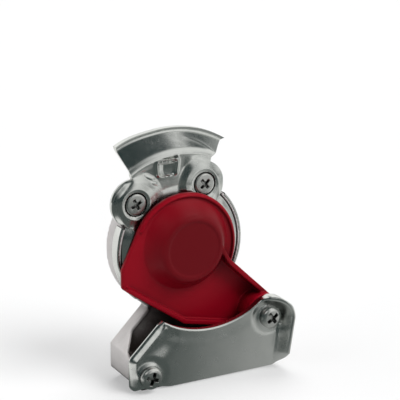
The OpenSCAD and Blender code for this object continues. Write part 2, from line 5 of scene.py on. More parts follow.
import bmesh
import bpy
import numpy as np
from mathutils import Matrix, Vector
from mathutils.geometry import delaunay_2d_cdt

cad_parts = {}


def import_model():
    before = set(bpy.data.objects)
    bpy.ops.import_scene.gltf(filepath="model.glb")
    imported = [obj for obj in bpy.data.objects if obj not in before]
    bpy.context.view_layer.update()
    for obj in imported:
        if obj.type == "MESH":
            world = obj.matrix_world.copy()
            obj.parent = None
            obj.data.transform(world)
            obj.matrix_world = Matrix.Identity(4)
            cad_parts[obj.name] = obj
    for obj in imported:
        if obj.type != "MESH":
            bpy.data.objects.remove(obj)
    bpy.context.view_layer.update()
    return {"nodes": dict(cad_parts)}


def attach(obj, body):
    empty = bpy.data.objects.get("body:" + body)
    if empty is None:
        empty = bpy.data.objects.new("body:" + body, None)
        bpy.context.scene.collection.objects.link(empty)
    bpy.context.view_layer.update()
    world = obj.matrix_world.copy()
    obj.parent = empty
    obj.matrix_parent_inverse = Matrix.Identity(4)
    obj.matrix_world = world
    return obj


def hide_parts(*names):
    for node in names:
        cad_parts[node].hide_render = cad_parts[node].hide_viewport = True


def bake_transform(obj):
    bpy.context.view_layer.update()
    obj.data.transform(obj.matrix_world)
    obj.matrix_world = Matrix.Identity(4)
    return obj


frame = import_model()

MM = 0.001
TINY = 1e-6
SEAL = Vector((0, 0, 0.055))

# Places in millimetres as [x, z] about the seal axis
LEFT_SCREW = np.array((-20.54, 20.90))
RIGHT_SCREW = np.array((11.35, 25.49))
BRACKET_SCREW = np.array((-23.6, -48.3))
PIVOT = np.array((33.3, -31.8))


# Materials

# Numbers of the colour sockets of a mix node
MIX_FACTOR, MIX_A, MIX_B, MIX_RESULT = 0, 6, 7, 2
NOISE_ROUGHNESS, CAVITY_SAMPLES = 0.55, 8


class Nodes:
    """The node tree of a material or world, with short ways to add and join nodes."""

    def __init__(self, owner, coords="Object"):
        owner.use_nodes = True
        self.owner = owner
        self.tree = owner.node_tree
        self.place = self.add("ShaderNodeTexCoord").outputs[coords]

    def add(self, kind, **settings):
        node = self.tree.nodes.new(kind)
        for key, value in settings.items():
            setattr(node, key, value)
        return node

    def join(self, a, b):
        self.tree.links.new(a, b)

    def feed(self, socket, value):
        """Sets an input to a number or a colour, or joins it to another node's output."""
        if isinstance(value, (int, float)):
            socket.default_value = value
        elif isinstance(value, tuple):
            socket.default_value = (*value, 1)
        else:
            self.join(value, socket)

    def fed(self, kind, values, **settings):
        """A new node whose inputs are fed with the values."""
        node = self.add(kind, **settings)
        for key, value in values.items():
            self.feed(node.inputs[key], value)
        return node

    def noise(self, scale, detail):
        values = {"Vector": self.place, "Scale": scale, "Detail": detail, "Roughness": NOISE_ROUGHNESS}
        return self.fed("ShaderNodeTexNoise", values).outputs["Fac"]

    def spread(self, value, low, high, start=0.3, end=0.7, kind="LINEAR"):
        """value's part from start to end, as low to high."""
        values = {"Value": value, "From Min": start, "From Max": end, "To Min": low, "To Max": high}
        return self.fed("ShaderNodeMapRange", values, interpolation_type=kind).outputs["Result"]

    def rising(self, value, span):
        return self.spread(value, 0, 1, *span)

    def falling(self, value, span):
        return self.spread(value, 1, 0, *span)

    def mix(self, factor, a, b, clamp=True):
        """Colour a where the factor is 0 and colour b where it is 1."""
        values = {MIX_FACTOR: factor, MIX_A: a, MIX_B: b}
        return self.fed("ShaderNodeMix", values, data_type="RGBA", clamp_factor=clamp).outputs[MIX_RESULT]

    def math(self, operation, *values):
        return self.fed("ShaderNodeMath", dict(enumerate(values)), operation=operation).outputs[0]

    def times(self, a, b):
        return self.math("MULTIPLY", a, b)

    def most(self, a, b):
        return self.math("MAXIMUM", a, b)

    def split(self):
        """The place's x, y and z."""
        return self.fed("ShaderNodeSeparateXYZ", {0: self.place}).outputs

    def grain(self, scale, detail, low, high):
        """A value that wanders between low and high."""
        return self.spread(self.noise(scale, detail), low, high)

    def blotches(self, scale, detail, dark, light):
        """A colour that wanders between two tones."""
        return self.mix(self.grain(scale, detail, 0, 1), dark, light)

    def shaded_in_hollows(self, colour, dark, distance, span):
        """The colour with painted shade: dark in hollows that are about as deep as the distance."""
        open_sky = self.fed("ShaderNodeAmbientOcclusion", {"Distance": distance}, samples=CAVITY_SAMPLES)
        return self.mix(self.rising(open_sky.outputs["AO"], span), dark, colour)

    def bump(self, height, strength, distance):
        values = {"Height": height, "Strength": strength, "Distance": distance}
        return self.fed("ShaderNodeBump", values).outputs["Normal"]

    def glow(self, kind, colour, strength=1.0):
        return self.fed(kind, {"Color": colour, "Strength": strength}).outputs[0]

    def choose(self, factor, a, b):
        """Shader a where the factor is 0 and shader b where it is 1."""
        return self.fed("ShaderNodeMixShader", {0: factor, 1: a, 2: b}).outputs[0]

    def finish(self, values):
        """The material, with the inputs of its surface fed."""
        inputs = self.tree.nodes["Principled BSDF"].inputs
        for key, value in values.items():
            self.feed(inputs[key], value)
        return self.owner


def new_material(name):
    return Nodes(bpy.data.materials.new(name))


def cast_aluminium():
    n = new_material("cast_aluminium")
    grain = n.noise(1500, 4)
    pale = n.blotches(90, 3, (0.66, 0.63, 0.62), (0.78, 0.75, 0.74))
    return n.finish({
        # Painted shade: the casting turns near black in its pocket and other hollows
        "Base Color": n.shaded_in_hollows(pale, (0.02, 0.015, 0.013), 0.03, (0.35, 0.75)),
        "Roughness": n.spread(grain, 0.5, 0.62),
        "Metallic": 0.15,
        "Normal": n.bump(grain, 0.35, 0.0002),
    })


def zinc_sheet():
    n = new_material("zinc_sheet")
    return n.finish({
        "Base Color": n.blotches(60, 2, (0.66, 0.68, 0.66), (0.76, 0.77, 0.75)),
        "Roughness": n.grain(400, 4, 0.20, 0.28),
        "Metallic": 1.0,
        "Normal": n.bump(n.noise(45, 1), 0.25, 0.0006),
    })


def zinc_screw():
    n = new_material("zinc_screw")
    pale = n.blotches(200, 2, (0.66, 0.67, 0.65), (0.80, 0.80, 0.78))
    return n.finish({
        # Painted shade: the screw turns dark in its cross recess
        "Base Color": n.shaded_in_hollows(pale, (0.02, 0.02, 0.02), 0.002, (0.3, 0.8)),
        "Roughness": n.grain(900, 3, 0.26, 0.36),
        "Metallic": 1.0,
    })


def spring_steel():
    n = new_material("spring_steel")
    return n.finish({
        "Base Color": n.blotches(500, 2, (0.30, 0.30, 0.30), (0.42, 0.42, 0.41)),
        "Roughness": n.grain(900, 3, 0.28, 0.4),
        "Metallic": 1.0,
    })


# The cover's dome is a darker red, from its middle to the end of the span in metres
DOME_MIDDLE, DOME_SPAN = (0.002, -0.008, 0.057), (0.013, 0.023)


def red_plastic():
    n = new_material("red_plastic")
    away = n.add("ShaderNodeVectorMath", operation="DISTANCE")
    away.inputs[1].default_value = DOME_MIDDLE
    n.join(n.place, away.inputs[0])
    dome = n.falling(away.outputs["Value"], DOME_SPAN)
    bright = n.blotches(70, 2, (0.25, 0.002, 0.010), (0.29, 0.003, 0.012))
    colour = n.mix(dome, bright, (0.145, 0.004, 0.008))
    return n.finish({
        # Painted shade: the red turns darker in corners, such as by the wall and at the dome's foot
        "Base Color": n.shaded_in_hollows(colour, (0.08, 0.001, 0.004), 0.009, (0.35, 0.85)),
        "Roughness": n.grain(300, 3, 0.3, 0.4),
        "Specular IOR Level": 0.14,
        "Normal": n.bump(n.noise(2500, 2), 0.1, 0.0001),
    })


def black_rubber():
    n = new_material("black_rubber")
    return n.finish({
        "Base Color": n.blotches(300, 3, (0.012, 0.012, 0.012), (0.03, 0.03, 0.03)),
        "Roughness": n.grain(900, 3, 0.5, 0.65),
    })


def brass():
    n = new_material("brass")
    return n.finish({
        "Base Color": n.blotches(200, 3, (0.62, 0.42, 0.15), (0.72, 0.52, 0.22)),
        "Roughness": n.grain(900, 3, 0.25, 0.38),
        "Metallic": 1.0,
    })


def pale_plastic():
    n = new_material("pale_plastic")
    return n.finish({
        "Base Color": n.blotches(200, 3, (0.70, 0.67, 0.58), (0.78, 0.75, 0.66)),
        "Roughness": n.grain(900, 3, 0.4, 0.5),
    })


FINISHES = {
    "cast_aluminium": cast_aluminium(),
    "zinc_sheet": zinc_sheet(),
    "zinc_screw": zinc_screw(),
    "spring_steel": spring_steel(),
    "red_plastic": red_plastic(),
    "black_rubber": black_rubber(),
    "brass": brass(),
    "pale_plastic": pale_plastic(),
}
SLOTS = {
    "body": "cast_aluminium",
    "claw_plate": "zinc_sheet",
    "claw_screw_left": "zinc_screw",
    "claw_screw_right": "zinc_screw",
    "guide_bracket": "zinc_sheet",
    "bracket_screw": "zinc_screw",
    "bracket_washer": "spring_steel",
    "pivot_screw": "zinc_screw",
    "pivot_washer": "spring_steel",
    "pivot_sleeve": "zinc_screw",
    "cover": "red_plastic",
    "cover_spring": "spring_steel",
    "seal_ring": "black_rubber",
    "retaining_ring": "spring_steel",
    "valve_seat": "brass",
    "seat_o_ring": "black_rubber",
    "valve_plunger": "pale_plastic",
    "valve_washer": "black_rubber",
    "valve_spring": "spring_steel",
}
for name, finish in SLOTS.items():
    materials = frame["nodes"][name].data.materials
    for i in range(len(materials)):
        materials[i] = FINISHES[finish]


# Shapes, in millimetres and degrees. A pair is a span from start to end, or a place or shift as [x, z].

SMOOTHING = 0.5


def step(value, start, end):
    """0 before start and 1 after end, smoothly."""
    t = np.clip((value - start) / (end - start), 0, 1)
    return t * t * (3 - 2 * t)


def fade(value, start, end):
    """1 before start and 0 after end, smoothly."""
    return 1 - step(value, start, end)


def ease(t):
    return (1 - np.cos(np.pi * t)) / 2


def near(x, z, place):
    return np.hypot(x - place[0], z - place[1])


def polar(radius, angles):
    turn = np.radians(angles)
    return radius * np.cos(turn), radius * np.sin(turn)


def add_object(name, data):
    obj = bpy.data.objects.new(name, data)
    bpy.context.scene.collection.objects.link(obj)
    return obj


def shade_smooth(mesh):
    mesh.polygons.foreach_set("use_smooth", [True] * len(mesh.polygons))


def place_piece(name, mesh, finish, body, node, sharp=40):
    """Puts a mesh in the scene that stands for a CAD node, smooth up to an angle between its faces."""
    mesh.materials.clear()
    mesh.materials.append(FINISHES[finish])
    shade_smooth(mesh)
    mesh.set_sharp_from_angle(angle=math.radians(sharp))
    obj = add_object(name, mesh)
    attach(obj, body)
    if node:
        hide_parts(node)


def new_piece(name, points, faces, finish, node, sharp=40):
    """A piece of the housing from points about the seal axis."""
    mesh = bpy.data.meshes.new(name)
    mesh.from_pydata([Vector(p) * MM + SEAL for p in points], [], faces)
    place_piece(name, mesh, finish, "housing", node, sharp)


def rounded_copy(name, node, voxel, rounds):
    """A CAD node's mesh with its edges and corners rounded."""
    obj = add_object(name + "_rough", frame["nodes"][node].data.copy())
    weld = obj.modifiers.new("weld", "WELD")
    weld.merge_threshold = TINY
    remesh = obj.modifiers.new("remesh", "REMESH")
    remesh.mode = "VOXEL"
    remesh.voxel_size = voxel * MM
    smooth = obj.modifiers.new("smooth", "SMOOTH")
    smooth.factor = SMOOTHING
    smooth.iterations = rounds
    done = obj.evaluated_get(bpy.context.evaluated_depsgraph_get())
    mesh = bpy.data.meshes.new_from_object(done)
    mesh.name = name
    bpy.data.objects.remove(obj)
    return mesh


def moulded(name, node, finish, body, voxel, rounds, reshape):
    """A CAD node with its edges rounded as by a mould and its form adjusted."""
    mesh = rounded_copy(name, node, voxel, rounds)
    points = np.empty(len(mesh.vertices) * 3)
    mesh.vertices.foreach_get("co", points)
    places = (points.reshape(-1, 3) - np.array(SEAL)) / MM
    moved = np.stack(reshape(*places.T), 1)
    mesh.vertices.foreach_set("co", (moved * MM + np.array(SEAL)).ravel())
    place_piece(name, mesh, finish, body, node, sharp=80)


# Cover's dome and body's screw bosses

DOME_R, DISC_R, DOME_H = 21.5, 11.5, 6.2
FOOT, FOOT_R = np.array((0.3, 2.0)), 19.6
TOP, TOP_R = np.array((1.25, 1.05)), 12.3
TOP_SHIFT, TOP_GROWTH, TOP_SPAN = (1.3, 1.1), 0.07, (10, 21)
DOME_DEPTH = (-9.7, -8.4)
EAR_TUCK = 1.6
EAR_RADIUS, EAR_DEPTH, EAR_BOSS = (29, 33), (3, 6), (8, 10)


def set_dome(x, y, z):
    """Gives the cover's dome its round foot and moves its flat top up and to the right."""
    r = np.hypot(x, z)
    old = np.clip((DOME_R - r) / (DOME_R - DISC_R), 0, 1)
    share = fade(r, *TOP_SPAN)
    x = x + (TOP_SHIFT[0] + TOP_GROWTH * x) * share
    z = z + (TOP_SHIFT[1] + TOP_GROWTH * z) * share
    inside = np.maximum(FOOT_R - near(x, z, FOOT), 0)
    outside = np.maximum(near(x, z, TOP) - TOP_R, 0)
    new = inside / np.maximum(inside + outside, TINY)
    rise = (np.sin(np.pi / 2 * new) + ease(new)) / 2
    return x, y - DOME_H * (rise - ease(old)) * step(y, *DOME_DEPTH), z


def tuck_ears(x, y, z):
    """Draws the body's screw bosses in behind the claw plate's lobes."""
    r = np.hypot(x, z)
    boss = np.minimum(near(x, z, LEFT_SCREW), near(x, z, RIGHT_SCREW))
    share = step(r, *EAR_RADIUS) * step(y, *EAR_DEPTH) * fade(boss, *EAR_BOSS)
    keep = 1 - EAR_TUCK * share / np.maximum(r, 1)
    return x * keep, y, z * keep


# Sheets


def between_rows(rows):
    """Faces of a sheet between rows of point numbers."""
    faces = []
    for a, b in zip(rows, rows[1:]):
        faces += [[a[i], a[i + 1], b[i + 1], b[i]] for i in range(len(a) - 1)]
    return faces


def numbered(start, rows, count):
    """Rows of point numbers that begin at start."""
    return [list(range(start + k * count, start + (k + 1) * count)) for k in range(rows)]


def solid_sheet(front, back, faces, loops):
    """Points and faces of a sheet from its two sides, which share faces and edge loops."""
    n = len(front)
    skin = faces + [[i + n for i in reversed(f)] for f in faces]
    for loop in loops:
        for a, b in zip(loop, loop[1:] + loop[:1]):
            skin.append([b, a, a + n, b + n])
    return [*front, *back], skin


def face_normals(points, faces):
    """Mean direction of the faces at each point, towards the back."""
    quads = np.array(faces)
    p = points[quads]
    across = np.cross(p[:, 2] - p[:, 0], p[:, 3] - p[:, 1])
    normals = np.zeros_like(points)
    for k in range(4):
        np.add.at(normals, quads[:, k], across)
    normals /= np.linalg.norm(normals, axis=1, keepdims=True)
    return np.where(normals[:, 1:2] < 0, -normals, normals)


# Claw plate

HOLE_R, PLATE_R, PLATE_T = 17.9, 27.1, 2.5

# Points of the plate's mesh: rows, closer towards the edge, and steps of the angle, fine at the lobes
PLATE_ROWS, ROW_POWER = 60, 0.7
COARSE, FINE, LOBES, SLACK = 1.0, 0.4, (40, 170), 0.01

# A lobe's middle as a distance and an angle about the seal axis, and its radius
LEFT_LOBE, RIGHT_LOBE = (29.3, 134.5, 10.4), (27.9, 66, 9.6)

# Set-back field between the lobes and the claw
FIELD = 1.4
FIELD_LEFT, FIELD_RIGHT, FIELD_RIM = (9, 14), (8.5, 12.5), (18.5, 24.3)
FIELD_LOW, FIELD_END = (12, 20), (6, 15)
TILT, TILT_TURN, TILT_REACH = 0.08, (2, 8), (34, 40)
FALL, FALL_SPAN = 0.8, (9, 24)
CLAW_JOIN = 37

# Crowned lobes, bead at the hole and seats of the screws
CROWN = 0.9
CROWN_R, CROWN_RIM, CROWN_LOW, CROWN_END = (5, 11), (19, 23), (6, 14), (16, 21)
BEAD, BEAD_SPAN = 0.4, (23, 26.5)
RING, RING_SPAN = 0.35, (5.3, 6.6)
SEAT, SEAT_SPAN = 1.6, (4.6, 5.2)

# Rolled edge: on the disc, and what a lobe and the disc's left side add to it
ROLL, ROLL_W = 0.9, 2.6
ROLL_MORE, LOBE_ROLL_W, LEFT_ROLL_W = 0.9, 2.2, 2.4
ROLL_LOBE, ROLL_LEFT, ROLL_CLEAR = (27.5, 33), (8, 20), (0, 9)

# Pressed folds beside the left lobe: start, end, width and height
FOLDS = [
    ((-16.5, 33.0), (-10.5, 29.4), 0.7, 0.45),
    ((-13.6, 29.6), (-9.6, 27.6), 0.6, 0.35),
]
FOLD_ENDS = (0.05, 0.95)

# Detent: a raised frame round a folded pocket, with a slit above
DETENT, DETENT_W, DETENT_H = (-5.6, 34.3), 4.7, 3.9
DETENT_TAPER, DETENT_ROUND = 0.1, 3
RIM, RIM_W, RIM_LESS, RIM_LOW = 0.8, 0.8, 0.85, (2, 4)
POCKET, POCKET_SPAN, POCKET_FOLD, POCKET_HALF = 1.5, (0.2, 1.0), -1.0, 5
SLIT, SLIT_FROM, SLIT_TO, SLIT_X, SLIT_W = 1.6, (3.9, 4.4), (4.5, 5.0), 0.3, (4.2, 4.8)

# Claw: angles, how far its ends turn, and its section
CLAW_FROM, CLAW_TO = 67.5, 124
CLAW_FLARE, CLAW_LEAN = 10, 4.5
CLAW_FOOT, CLAW_START, CLAW_LIP = (37.5, 37.4), 39.4, 48.98
CLAW_SLOPE, CLAW_RUN, FOOT_BEND, LIP_BEND, LIP_RISE = 57, 8.6, 3.5, 1.0, 0.25
LIP_MORE, LIP_SPAN = 1.0, (98, 118)
CLAW_STEPS, JOIN_STEPS, BEND_STEPS, RUN_STEPS, LIP_STEPS = 160, 13, 10, 14, 6

# Fold over the claw's right part, with its width and place as shares of the claw's height
CLAW_FOLD, CLAW_FOLD_W = 0.3, 0.06
CLAW_FOLD_AT, CLAW_FOLD_DROP, CLAW_FOLD_POWER = 0.62, 0.5, 1.5
CLAW_FOLD_FROM, CLAW_FOLD_RUN, CLAW_FOLD_START = 90, 25, (0, 0.2)


def lobe_edge(angle, ring, at, radius):
    """Distance from the seal axis to a lobe's outer edge, or 0 beside the lobe."""
    d = np.radians(angle - at)
    room = radius**2 - (ring * np.sin(d)) ** 2
    ahead = np.cos(d) > 0
    return np.where((room > 0) & ahead, ring * np.cos(d) + np.sqrt(np.maximum(room, 0)), 0)


def plate_edge(angle):
    """Distance from the seal axis to the plate's edge, or to the claw's foot."""
    lobes = np.maximum(lobe_edge(angle, *LEFT_LOBE), lobe_edge(angle, *RIGHT_LOBE))
    share = (angle - CLAW_FROM) / (CLAW_TO - CLAW_FROM)
    foot = CLAW_FOOT[0] + (CLAW_FOOT[1] - CLAW_FOOT[0]) * share
    return np.where((share >= 0) & (share <= 1), foot, np.maximum(lobes, PLATE_R))


def ridge(x, z, start, end, width):
    """1 on a line between two places, falling off to both sides."""
    way = np.array(end) - np.array(start)
    t = np.clip(((x - start[0]) * way[0] + (z - start[1]) * way[1]) / (way @ way), 0, 1)
    d = np.hypot(x - start[0] - t * way[0], z - start[1] - t * way[1])
    return np.exp(-((d / width) ** 2)) * np.sin(np.pi * np.clip(t, *FOLD_ENDS))


def field_depth(x, z, r, left, right):
    """Depth of the set-back field and of the slopes round the lobes."""
    share = step(left, *FIELD_LEFT) * step(right, *FIELD_RIGHT) * step(r, *FIELD_RIM)
    share = share * step(z, *FIELD_LOW) * fade(x, *FIELD_END)
    tilt = TILT * (1 - 2 * step(x, *TILT_TURN))
    depth = FIELD + tilt * (TILT_REACH[1] - np.maximum(r, TILT_REACH[0])) + FALL * step(-x, *FALL_SPAN)
    slopes = step(np.minimum(left, right), *CROWN_R) * step(r, *CROWN_RIM)
    slopes = slopes * step(z, *CROWN_LOW) * fade(x, *CROWN_END)
    return depth * share + CROWN * slopes * (1 - share)


def edge_roll(x, r, edge, angle):
    """How far the plate's edge is rolled back, except where the claw joins it."""
    lobe = step(edge, *ROLL_LOBE)
    leftward = step(-x, *ROLL_LEFT) * (1 - lobe)
    width = ROLL_W + LOBE_ROLL_W * lobe + LEFT_ROLL_W * leftward
    rolled = np.clip(1 - (edge - r) / width, 0, 1) ** 2
    clear = step(np.maximum(angle - CLAW_TO, CLAW_FROM - angle), *ROLL_CLEAR)
    return (ROLL + ROLL_MORE * (lobe + leftward)) * rolled * clear


def detent_rise(x, z):
    """Height of the pressed catch above the set-back field."""
    u, v = x - DETENT[0], z - DETENT[1]
    side, end = np.abs(u) - (DETENT_W + DETENT_TAPER * v), np.abs(v) - DETENT_H
    out = np.maximum(side + DETENT_ROUND, 0) ** 3 + np.maximum(end + DETENT_ROUND, 0) ** 3
    out = np.cbrt(out) - DETENT_ROUND
    rim = RIM * np.exp(-((out / RIM_W) ** 2)) * (1 - RIM_LESS * step(-v, *RIM_LOW))
    left, right = POCKET_HALF + POCKET_FOLD, POCKET_HALF - POCKET_FOLD
    pocket = np.where(u < POCKET_FOLD, (u + POCKET_HALF) / left, (POCKET_HALF - u) / right)
    slit = step(v, *SLIT_FROM) * fade(v, *SLIT_TO) * fade(np.abs(u - SLIT_X), *SLIT_W)
    return rim - POCKET * pocket * step(-out, *POCKET_SPAN) - SLIT * slit


def plate_depth(x, z, edge, angle):
    """Depth of the plate's face behind the coupling face."""
    r = np.hypot(x, z)
    left, right = near(x, z, LEFT_SCREW), near(x, z, RIGHT_SCREW)
    depth = field_depth(x, z, r, left, right) - BEAD * fade(r, *BEAD_SPAN)
    depth += (FIELD - depth) * step(r, CLAW_JOIN, CLAW_START)
    depth += edge_roll(x, r, edge, angle)
    for d in (left, right):
        depth += RING * fade(d, *RING_SPAN) + SEAT * fade(d, *SEAT_SPAN)
    for start, end, width, height in FOLDS:
        depth -= height * ridge(x, z, start, end, width)
    return depth - detent_rise(x, z)


def lip_reach(angle):
    """Radius of the claw's lip, which stands out a little at its left end."""
    return CLAW_LIP + LIP_MORE * step(angle, *LIP_SPAN)


def claw_section():
    """The claw's face from the field to the lip's edge, as [radius, depth]."""
    slope = math.radians(CLAW_SLOPE)
    first = np.array((CLAW_START, FIELD + FOOT_BEND))
    run = CLAW_RUN * np.array((math.cos(slope), math.sin(slope)))
    second = first + (FOOT_BEND + LIP_BEND) * np.array((math.sin(slope), -math.cos(slope))) + run
    turn = np.linspace(0, slope, BEND_STEPS)
    bend = [first + FOOT_BEND * np.array((math.sin(t), -math.cos(t))) for t in turn]
    lower = [second + LIP_BEND * np.array((-math.sin(t), math.cos(t))) for t in turn[::-1]]
    middle = [bend[-1] + run * t for t in np.linspace(0, 1, RUN_STEPS)[1:-1]]
    start, depth = lower[-1]
    out = np.linspace(0, 1, LIP_STEPS)[1:]
    lip = [(start + (CLAW_LIP - start) * t, depth - LIP_RISE * t**2) for t in out]
    return np.array([*bend, *middle, *lower, *lip])


def claw_fold(share, across):
    """A pressed fold that runs over the claw's right part."""
    rightward = np.clip((CLAW_FOLD_FROM - across) / CLAW_FOLD_RUN, 0, 1)
    off = share - CLAW_FOLD_AT + CLAW_FOLD_DROP * rightward**CLAW_FOLD_POWER
    return CLAW_FOLD * np.exp(-((off / CLAW_FOLD_W) ** 2)) * step(rightward, *CLAW_FOLD_START)


def plate_rows(angles, edge):
    """Rows of points from the hole to the plate's edge."""
    rows = []
    for k in range(PLATE_ROWS + 1):
        x, z = polar(HOLE_R + (edge - HOLE_R) * (k / PLATE_ROWS) ** ROW_POWER, angles)
        rows.append(np.stack((x, plate_depth(x, z, edge, angles), z), 1))
    return rows


def claw_rows(across, edge):
    """Rows of points from the plate's edge over the claw to its lip."""
    rows = []
    for t in np.linspace(0, 1, JOIN_STEPS)[1:-1]:
        x, z = polar(edge + (CLAW_START - edge) * t, across)
        rows.append(np.stack((x, plate_depth(x, z, edge, across), z), 1))
    along = (across - CLAW_FROM) / (CLAW_TO - CLAW_FROM)
    for r, y in claw_section():
        share = (r - CLAW_START) / (CLAW_LIP - CLAW_START)
        turned = across - share * (CLAW_FLARE * (1 - along) + CLAW_LEAN * along)
        x, z = polar(r + share * (lip_reach(turned) - CLAW_LIP), turned)
        rows.append(np.stack((x, y - claw_fold(share, across), z), 1))
    return rows


def sheet_back(points, faces):
    """The plate's back, which stays inside the lip's radius."""
    back = points + PLATE_T * face_normals(points, faces)
    past = np.hypot(back[:, 0], back[:, 2])
    past /= lip_reach(np.degrees(np.arctan2(back[:, 2], back[:, 0])))
    back[:, [0, 2]] /= np.maximum(past, 1)[:, None]
    return back


def claw_plate():
    angles = np.concatenate((
        np.arange(0, LOBES[0], COARSE),
        np.arange(LOBES[0], CLAW_FROM, FINE),
        np.arange(CLAW_FROM, CLAW_TO + SLACK, (CLAW_TO - CLAW_FROM) / CLAW_STEPS),
        np.arange(CLAW_TO + FINE, LOBES[1], FINE),
        np.arange(LOBES[1], 360, COARSE)))
    edge = plate_edge(angles)
    under = np.flatnonzero((angles > CLAW_FROM - TINY) & (angles < CLAW_TO + TINY)).tolist()
    plate, claw = plate_rows(angles, edge), claw_rows(angles[under], edge[under])
    points = np.concatenate([*plate, *claw])
    disc = numbered(0, len(plate), len(angles))
    outer = disc[-1]
    arch = numbered(outer[-1] + 1, len(claw), len(under))
    arch.insert(0, [outer[i] for i in under])
    faces = between_rows([[*row, row[0]] for row in disc]) + between_rows(arch)
    right_side, left_side = [row[0] for row in arch], [row[-1] for row in arch]
    rim = outer[under[-1] + 1:] + outer[:under[0]]
    loops = [right_side + arch[-1][1:-1] + left_side[::-1] + rim, disc[0][::-1]]
    sheet = solid_sheet(points, sheet_back(points, faces), faces, loops)
    new_piece("claw_sheet", *sheet, "zinc_sheet", "claw_plate")


# Skirts: the claw plate's edge, drawn back over the casting, as [beyond the edge, depth]

HEAD_SKIRT = [(1.1, 0.75), (1.7, 0.6), (2.1, 0.8), (2.25, 1.3), (2.25, 5.6), (2.15, 6.0), (1.6, 6.1)]
LOBE_SKIRT = [(-0.8, 2.2), (-0.2, 2.3), (0.05, 2.7), (0.05, 3.8), (-0.2, 4.3), (-0.8, 4.4)]
SKIRT_STEPS, CLAW_GAP = 1.5, 0.5
LEFT_SKIRT, RIGHT_SKIRT, LOBES_SKIRT = (157, 224), (328, 403), (44, 156)


def head_edge(angles):
    return np.full(len(angles), PLATE_R)


def skirt(name, start, end, section, edge):
    """A strip of the claw plate's edge between two angles."""
    angles = np.linspace(start, end, int((end - start) * SKIRT_STEPS))
    radii, count = edge(angles), len(angles)
    points = []
    for out, y in section:
        x, z = polar(radii + out, angles)
        points.extend(np.stack((x, np.full(count, y), z), 1))
    faces = between_rows(numbered(0, len(section), count))
    new_piece(name, points, faces, "zinc_sheet", None, sharp=50)


# Guide bracket

SPACING, CURVE_SPACING = 0.5, 1.0
NOTCH, NOTCH_R, NOTCH_ARC = np.array((5.3, 8.4)), 40.5, (-51.5, -121.5)
END_R, END_ARC, END_FOOT = 9.5, (0, 92), 39.4
BRACKET_LEFT, BRACKET_RIGHT, BRACKET_FOOT = -31.3, 39.8, -54.5
CHAMFER, CORNER, LEFT_TOP = 4.0, (-18, -27.6), -40.5
FOOT_ROUND, CHAMFER_ROUND, CORNER_ROUND, LEFT_ROUND = 2.5, 1.5, 2.0, 3.0
BRACKET_FRONT, BRACKET_BACK = -17.0, -14.5

# Points of the bracket's mesh: spacing, height and gap of the grid, and rows along the edge
BRACKET_GRID, GRID_HEIGHT, GRID_GAP, ROW_KEEP = 0.7, 0.866, 0.6, 0.97
BRACKET_ROWS = [0.12, 0.3, 0.55, 0.8, 1.05, 1.25, 1.45, 1.65, 1.85, 2.05, 2.25, 2.5, 2.8, 3.2]

# Pressed forms: band at the notch, rings at the screws, raised end, bent corner and rolled edges
BAND, BAND_W, BAND_FROM, BAND_TO = 0.3, (2.5, 7), (-126, -114), (-64, -50)
BOSS, BOSS_INNER, BOSS_OUTER = 0.4, (4.9, 6.0), (6.6, 9.2)
WALL, WALL_BEND, WALL_SPAN, WALL_TAPER = 6.5, (1.0, 4.6), (27, 41), 6.5
BENT, BENT_SPAN, BENT_END, BENT_SLOPE, BENT_X = 1.1, (-43.5, -35), (-17, -9), 0.5, -18.8
SIDE_ROLL, SIDE_ROLL_W, SIDE_POWER, SIDE_SPAN = 2.1, 2.3, 1.15, (-19, -13)
FRONT_ROLL, BACK_ROLL, EDGE_W = 0.45, 0.35, 0.7
BACK_FOLLOWS, BACK_LEFT = 2.0, -14


def ray(angle):
    return np.array((math.cos(math.radians(angle)), math.sin(math.radians(angle))))


def arc(centre, radius, start, end, spacing=SPACING):
    count = max(int(abs(math.radians(end - start)) * radius / spacing), 2)
    return [centre + radius * ray(a) for a in np.linspace(start, end, count)]


def corner_arc(a, b, c, radius):
    """Points that round the corner b between a and c."""
    u, w = (a - b) / np.linalg.norm(a - b), (c - b) / np.linalg.norm(c - b)
    half = math.acos(np.clip(u @ w, -1, 1)) / 2
    centre = b + (u + w) / np.linalg.norm(u + w) * radius / math.sin(half)
    start = b + u * radius / math.tan(half) - centre
    stop = b + w * radius / math.tan(half) - centre
    first = math.degrees(math.atan2(start[1], start[0]))
    turn = math.degrees(math.atan2(start[0] * stop[1] - start[1] * stop[0], start @ stop))
    return arc(centre, radius, first, first + turn)


def rounded(points, radii):
    """A closed outline of closely spaced points, with its corners rounded where the radius isn't 0."""
    path = []
    for k, (b, radius) in enumerate(zip(points, radii)):
        after = points[(k + 1) % len(points)]
        path += corner_arc(points[k - 1], b, after, radius) if radius else [b]
    fine = []
    for a, b in zip(path, path[1:] + path[:1]):
        count = max(int(np.linalg.norm(b - a) / SPACING), 1)
        fine += [a + (b - a) * t / count for t in range(count)]
    return np.array(fine)


def bracket_outline():
    end = arc(PIVOT, END_R, *END_ARC, CURVE_SPACING)
    notch = arc(NOTCH, NOTCH_R, *NOTCH_ARC, CURVE_SPACING)
    corners = [
        (BRACKET_LEFT, BRACKET_FOOT), (BRACKET_RIGHT - CHAMFER, BRACKET_FOOT),
        (BRACKET_RIGHT, BRACKET_FOOT + CHAMFER), *end, *notch, CORNER, (BRACKET_LEFT, LEFT_TOP)]
    curves = [0] * (len(end) + len(notch))
    radii = [FOOT_ROUND, CHAMFER_ROUND, CHAMFER_ROUND, *curves, CORNER_ROUND, LEFT_ROUND]
    return rounded([np.array(c, float) for c in corners], radii)


def to_edge(points, outline, closed=True):
    """Distance of each point from an outline."""
    ends = np.roll(outline, -1, 0)
    count = len(outline) if closed else len(outline) - 1
    best = np.full(len(points), np.inf)
    for p, q in zip(outline[:count], ends[:count]):
        d = q - p
        t = np.clip(((points - p) @ d) / max(d @ d, TINY**2), 0, 1)
        best = np.minimum(best, np.linalg.norm(points - p - t[:, None] * d, axis=1))
    return best


